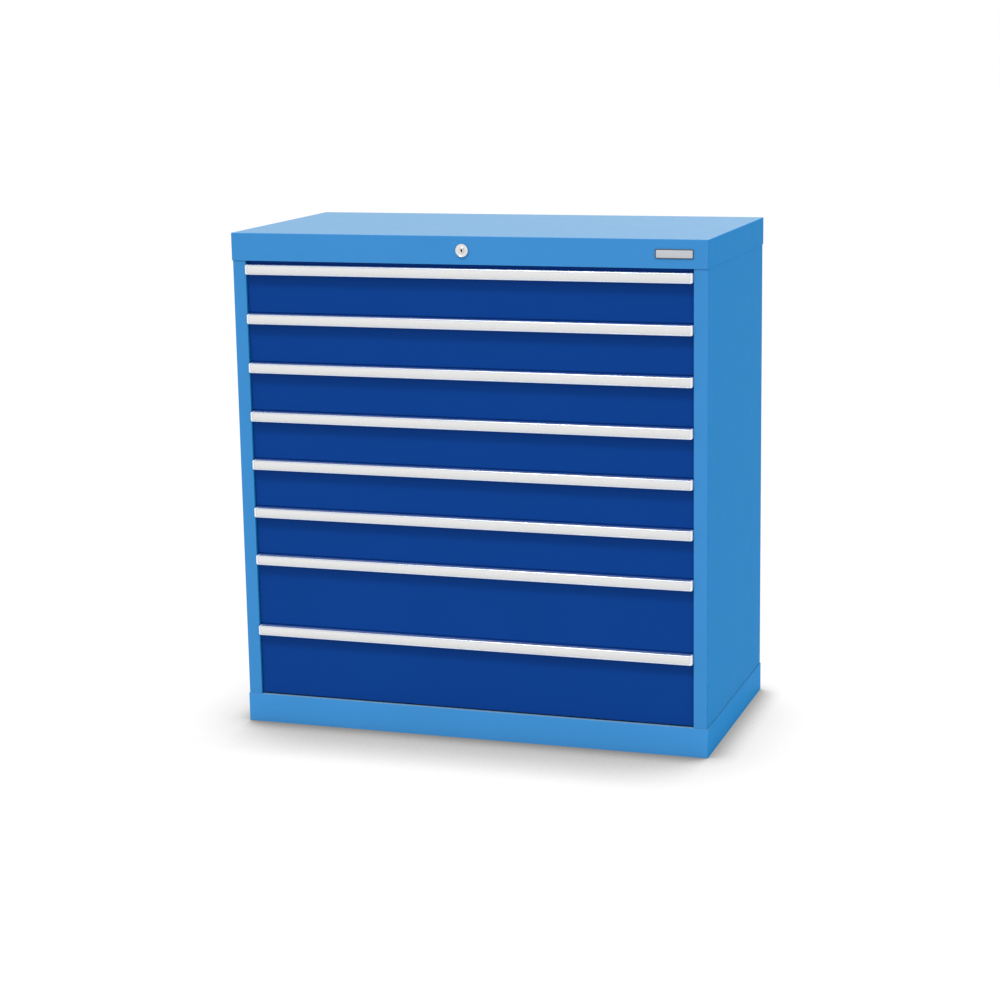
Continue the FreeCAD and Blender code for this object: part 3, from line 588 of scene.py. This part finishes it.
def make_tray_runners(number, low, high, reach):
    """The drawer's two rails, and the hook behind it that the lock bar holds."""
    carriage_low, carriage_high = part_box(f"slide_{number}_carriages")
    middle = (carriage_low.z + carriage_high.z) / 2
    gauge = 1.5 * MM
    half = 13 * MM - gauge / 2      # middle of the flanges, above and below the rail's centre
    setback = 2 * MM
    bend = 1.6 * MM
    web = high.x + gauge / 2
    path = [(reach.x, middle + half), (web, middle + half), (web, middle - half), (reach.x, middle - half)]
    section = folded_section(path, gauge, bend)
    mesh = bmesh.new()
    for sign in SIDES:
        add_extrusion(mesh, section, low.y + setback, high.y, lambda x, z, y, sign=sign: (sign * x, y, z))

    hook_gauge = 2 * MM
    hook_half = 12 * MM
    hook_lip = 18 * MM
    top = high.z - 12 * MM - gauge / 2
    tip = reach.y - hook_gauge / 2
    path = [(high.y, top), (tip, top), (tip, high.z - 12 * MM - hook_lip)]
    section = folded_section(path, hook_gauge, hook_gauge)
    add_extrusion(mesh, section, -hook_half, hook_half, lambda y, z, x: (x, y, z))
    finish_mesh(f"drawer_{number}_tray_runners", mesh, [ZINC], f"drawer_{number}")


def make_carriages(number):
    """Punched plates with turned rollers, three in each rail on each side."""
    low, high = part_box(f"slide_{number}_carriages")
    middle = (low.z + high.z) / 2
    radius = (high.z - low.z) / 2
    roller_width = 3.4 * MM
    roller_pitch = 70 * MM
    roller_inset = 16 * MM
    gauge = 1.4 * MM
    outer_face = high.x - roller_width
    inner_face = outer_face - gauge
    half = 9 * MM
    hole_half = 3 * MM
    lines = slot_lines(low.y, high.y, margin=30 * MM, pitch=28 * MM, width=16 * MM)
    levels = [middle - half, middle - hole_half, middle + hole_half, middle + half]
    plates = bmesh.new()
    rollers = bmesh.new()
    for sign in SIDES:
        made = add_slotted_sheet(plates, lines, levels, lambda y, z, x=sign * inner_face: (x, y, z))
        grown = bmesh.ops.extrude_face_region(plates, geom=made)["geom"]
        moved = [item for item in grown if isinstance(item, bmesh.types.BMVert)]
        bmesh.ops.translate(plates, vec=(sign * gauge, 0, 0), verts=moved)
        for step in range(ROLLERS):
            offset = roller_inset + step * roller_pitch
            outer = (sign * outer_face, high.y - offset, middle)
            inner = (sign * inner_face, low.y + offset, middle)
            add_roller(rollers, outer, sign, radius, roller_width)
            add_roller(rollers, inner, -sign, radius, roller_width)
    finish_mesh(
        f"slide_{number}_plates", plates, [ZINC], f"slide_{number}",
        replaced=[f"slide_{number}_carriages"],
    )
    finish_mesh(f"slide_{number}_rollers", rollers, [NICKEL], f"slide_{number}")


def add_roller(mesh, centre, outward, radius, width):
    """Bearing roller: chamfered tyre, recessed face and a hub rivet."""
    edge = 0.4 * MM
    recess = 0.6 * MM
    rivet = 0.1 * MM                # rivet's head behind the tyre's face
    dimple = 0.3 * MM
    profile = [
        (0, 0), (0, radius - edge), (edge, radius), (width - edge, radius), (width, radius - edge),
        (width, radius * 0.62), (width - recess, radius * 0.58), (width - recess, radius * 0.34),
        (width - rivet, radius * 0.30), (width - rivet, radius * 0.06), (width - dimple, 0),
    ]
    add_lathe(mesh, profile, centre, (outward, 0, 0), steps=32)


for drawer in DRAWERS:
    make_label_strip(drawer)
    make_dust_lip(drawer)
    make_tray(drawer)
    make_carriages(drawer)


# ---------------------------------------------------------------- lock, trim

def make_lock():
    """Round lock housing with a raised rim, a shallow dish and a collar round its bore."""
    low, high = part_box("lock_cylinder")
    radius = (high.x - low.x) / 2
    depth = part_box("top_cover")[0].y - low.y
    tail = high.y - low.y
    barrel = 9.8 * MM
    bore = 5.3 * MM
    side = [(depth, radius), (0.9 * MM, radius), (0.25 * MM, radius - 0.35 * MM)]
    rim = [(0, radius - 1 * MM), (0, radius - 2.2 * MM)]
    dish = [(0.5 * MM, radius - 2.9 * MM), (0.55 * MM, bore + 1.6 * MM)]
    collar = [(0.1 * MM, bore + 1.0 * MM), (0.1 * MM, bore + 0.3 * MM), (0.4 * MM, bore)]
    rear = [(tail, bore), (tail, barrel), (depth, barrel)]
    profile = side + rim + dish + collar + rear
    mesh = bmesh.new()
    add_lathe(mesh, profile, (0, low.y, (low.z + high.z) / 2), (0, 1, 0), steps=96, closed=True)
    finish_mesh("lock_housing", mesh, [NICKEL], "root", replaced=["lock_cylinder"])


def keyway(angle):
    """Edge of the key's opening at an angle: a narrow slot with a round middle."""
    half_width = 0.9 * MM
    half_height = 3.4 * MM
    centre_radius = 2.2 * MM
    across = max(abs(math.cos(angle)), 0.001)
    top_highlight_mask = max(abs(math.sin(angle)), 0.001)
    return max(centre_radius, min(half_width / across, half_height / top_highlight_mask))


def make_plug():
    """Turning plug: a chamfered rod with a keyway sunk in its face."""
    low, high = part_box("lock_plug")
    middle = (low.z + high.z) / 2
    radius = (high.x - low.x) / 2
    steps = 96
    keyway_depth = 6 * MM
    keyway_edge = 0.15 * MM
    chamfer = 0.4 * MM
    mesh = bmesh.new()

    def ring(y, reach):
        spots = []
        for step in range(steps):
            angle = 2 * math.pi * step / steps
            spot = (reach(angle) * math.cos(angle), y, middle + reach(angle) * math.sin(angle))
            spots.append(mesh.verts.new(spot))
        return spots

    rings = [
        ring(low.y + keyway_depth, keyway),
        ring(low.y + keyway_edge, keyway),
        ring(low.y, lambda angle: keyway(angle) + keyway_edge),
        ring(low.y, lambda angle: radius - chamfer),
        ring(low.y + chamfer, lambda angle: radius),
        ring(high.y, lambda angle: radius),
    ]
    metal, dark = 0, 1
    for near, far, look in zip(rings, rings[1:], (dark, metal, metal, metal, metal)):
        join_rings(mesh, near, far, look)
    mesh.faces.new(rings[0]).material_index = dark
    mesh.faces.new(rings[-1])
    finish_mesh(
        "lock_plug_face", mesh, [NICKEL, DARK_HOLE], "lock_core", replaced=["lock_plug"],
    )


def make_badge():
    """Blank label plate: a dark frame with rounded corners round a recessed satin face."""
    low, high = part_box("name_plate")
    border, face = 0, 1
    back = high.y - low.y
    steps = (                       # inset, corner radius, depth, look
        (0, 2 * MM, back, border), (0, 2 * MM, 0.3 * MM, border),
        (0.3 * MM, 1.8 * MM, 0, border), (1.7 * MM, 1.3 * MM, 0, border),
        (1.9 * MM, 1.2 * MM, 0.5 * MM, border),
        (2.1 * MM, 1.1 * MM, 0.5 * MM, face), (2.4 * MM, 1.0 * MM, 0.35 * MM, face),
    )
    mesh = bmesh.new()
    rings = []
    for inset, radius, depth, look in steps:
        spots = rounded_outline((low.x + inset, low.z + inset), (high.x - inset, high.z - inset), radius)
        rings.append([mesh.verts.new((x, low.y + depth, z)) for x, z in spots])
    for near, far, step in zip(rings, rings[1:], steps[1:]):
        join_rings(mesh, near, far, step[-1])
    mesh.faces.new(rings[0]).material_index = border
    mesh.faces.new(rings[-1]).material_index = face
    finish_mesh(
        "badge", mesh, [BADGE_FRAME, BADGE_FACE], "root", replaced=["name_plate"],
    )


def make_screws():
    """Pan-head screws along the rear flanges."""
    low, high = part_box("case_screws")
    rows = 6
    head = 4.5 * MM
    shank = 2 * MM
    length = 6 * MM
    spacing = (high.z - low.z - 2 * head) / (rows - 1)
    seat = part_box("left_side_panel")[1].y
    height = high.y - seat
    profile = [
        (-length, 0), (-length, shank), (0, shank), (0, head), (height * 0.35, head),
        (height * 0.8, head * 0.82), (height, head * 0.55), (height, 0),
    ]
    mesh = bmesh.new()
    for x in (low.x + head, high.x - head):
        for row in range(rows):
            z = low.z + head + row * spacing
            add_lathe(mesh, profile, (x, seat, z), (0, 1, 0), steps=32)
    finish_mesh("rear_screws", mesh, [ZINC], "root", replaced=["case_screws"])


def make_back_panel():
    """Rear sheet with two large shallow fields, pressed outwards, that stiffen it."""
    low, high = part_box("back_panel")
    margin = 62 * MM
    half_gap = 22 * MM              # flat band between the fields
    slope = 3 * MM
    press = 2.2 * MM
    foot_radius = 14 * MM
    field_radius = 10 * MM
    middle = (low.z + high.z) / 2
    left, right = low.x + margin, high.x - margin
    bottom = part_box("base_plinth")[1].z + margin
    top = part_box("top_cover")[0].z - margin
    mesh = bmesh.new()
    outline = [(low.x, low.z), (high.x, low.z), (high.x, high.z), (low.x, high.z)]
    sheet = [mesh.verts.new((x, high.y, z)) for x, z in outline]
    edges = [mesh.edges.new(pair) for pair in zip(sheet, sheet[1:] + sheet[:1])]
    for base, ceiling in ((bottom, middle - half_gap), (middle + half_gap, top)):
        foot = rounded_outline((left, base), (right, ceiling), foot_radius)
        field = rounded_outline((left + slope, base + slope), (right - slope, ceiling - slope), field_radius)
        outer = [mesh.verts.new((x, high.y, z)) for x, z in foot]
        inner = [mesh.verts.new((x, high.y + press, z)) for x, z in field]
        join_rings(mesh, outer, inner)
        mesh.faces.new(inner)
        edges += [mesh.edges.get(pair) for pair in zip(outer, outer[1:] + outer[:1])]
    bmesh.ops.triangle_fill(mesh, edges=edges, use_beauty=True, use_dissolve=True)
    finish_mesh(
        "rear_sheet", mesh, [LIGHT_BLUE], "root",
        replaced=["back_panel"], gauge=1.2 * MM,
    )


make_lock()
make_plug()
make_badge()
make_screws()
make_back_panel()


# ----------------------------------------------------------- stage and light

def make_stage():
    """Floor that reaches far past every view."""
    reach = 40
    corners = [(-reach, -reach, 0), (reach, -reach, 0), (reach, reach, 0), (-reach, reach, 0)]
    mesh = bpy.data.meshes.new("floor")
    mesh.from_pydata(corners, [], [(0, 1, 2, 3)])
    mesh.materials.append(light_table())
    floor = bpy.data.objects.new("floor", mesh)
    bpy.context.scene.collection.objects.link(floor)


def light_table():
    """White floor that glows evenly, with a painted shadow: darker in front of the object and close around
    it.
    """
    look = Look("floor")
    in_front = look.openness(reach=0.27, lean=(0, 0.8, 0.6))
    close_by = look.openness(reach=0.06, lean=(-0.1, 0, 0.99))
    broad = look.spread(in_front, low=0.42, high=1.02, start=0.30, end=0.84)
    narrow = look.spread(close_by, low=0.48, high=1.0, start=0.48, end=0.95)
    # Occlusion near the object reduces the glow's strength: a painted contact shadow.
    look.feed("Emission Strength", look.calculate("MULTIPLY", broad, narrow))
    look.set(Emission_Color=(1, 1, 1, 1), Base_Color=(0, 0, 0, 1), Roughness=1.0, IOR=1.0)
    return look.material


def add_sun(name, spot, spread, power):
    """Sun from a place towards the origin; the spread is its width in degrees."""
    light = bpy.data.lights.new(name, "SUN")
    light.angle = math.radians(spread)
    light.energy = power
    lamp = bpy.data.objects.new(name, light)
    lamp.location = spot
    lamp.rotation_euler = (-Vector(spot)).to_track_quat("-Z", "Y").to_euler()
    bpy.context.scene.collection.objects.link(lamp)


def make_lights():
    """White surroundings, a key sun above the front and a weaker one behind."""
    world = bpy.data.worlds.new("studio")
    world.use_nodes = True
    background = world.node_tree.nodes["Background"]
    background.inputs["Color"].default_value = (1, 1, 1, 1)
    background.inputs["Strength"].default_value = 1.0
    bpy.context.scene.world = world
    add_sun("key", (-0.4, -1.5, 3.0), 14, 2.0)
    add_sun("rear", (0, 3.0, 1.8), 20, 1.0)


def make_camera():
    """Long lens a little to the right of the front and above the cabinet's top."""
    spot = Vector((1.4884, -4.4986, 1.4353))
    azimuth, elevation, roll = (math.radians(angle) for angle in (18.02, 11.653, -0.879))
    data = bpy.data.cameras.new("camera")
    data.lens = 83.05
    data.sensor_width = 36
    data.shift_x = -0.0172
    data.shift_y = -0.0057
    data.clip_end = 60
    turn = Matrix.Rotation(azimuth, 4, "Z") @ Matrix.Rotation(math.pi / 2 - elevation, 4, "X")
    camera = bpy.data.objects.new("camera", data)
    camera.matrix_world = Matrix.Translation(spot) @ turn @ Matrix.Rotation(roll, 4, "Z")
    bpy.context.scene.collection.objects.link(camera)
    bpy.context.scene.camera = camera


make_stage()
make_lights()
make_camera()
bpy.context.scene.view_settings.view_transform = "Standard"
